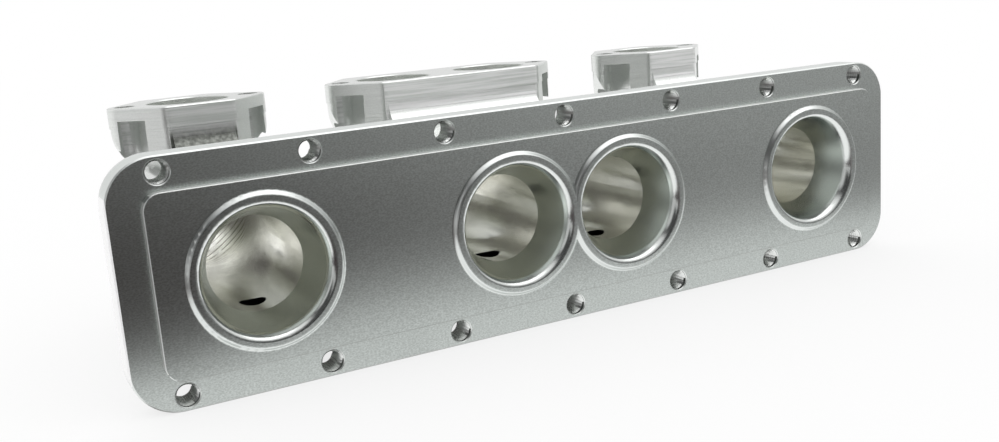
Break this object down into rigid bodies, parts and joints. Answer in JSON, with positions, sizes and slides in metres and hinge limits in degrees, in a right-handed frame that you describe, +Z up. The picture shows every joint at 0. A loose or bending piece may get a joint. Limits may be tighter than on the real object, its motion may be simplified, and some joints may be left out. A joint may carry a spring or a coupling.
{
  "type": "engine intake manifold base",
  "caption": "Milled aluminium manifold: a screw plate with bellmouths whose runners turn up to bolted flanges.",
  "frame": {"origin": "under the middle of the part's box, level with the plate's lower edge", "axes": "+X along the plate, +Y from the bellmouths to the back, +Z up out of the flanges"},
  "size_m": [0.3346, 0.135, 0.0925],
  "materials": {
    "machined_aluminium": "bare milled, with fine cutter lines and satin faces"
  },
  "bodies": {
    "root": {"manifold_body": "machined_aluminium"}
  },
  "joints": []
}
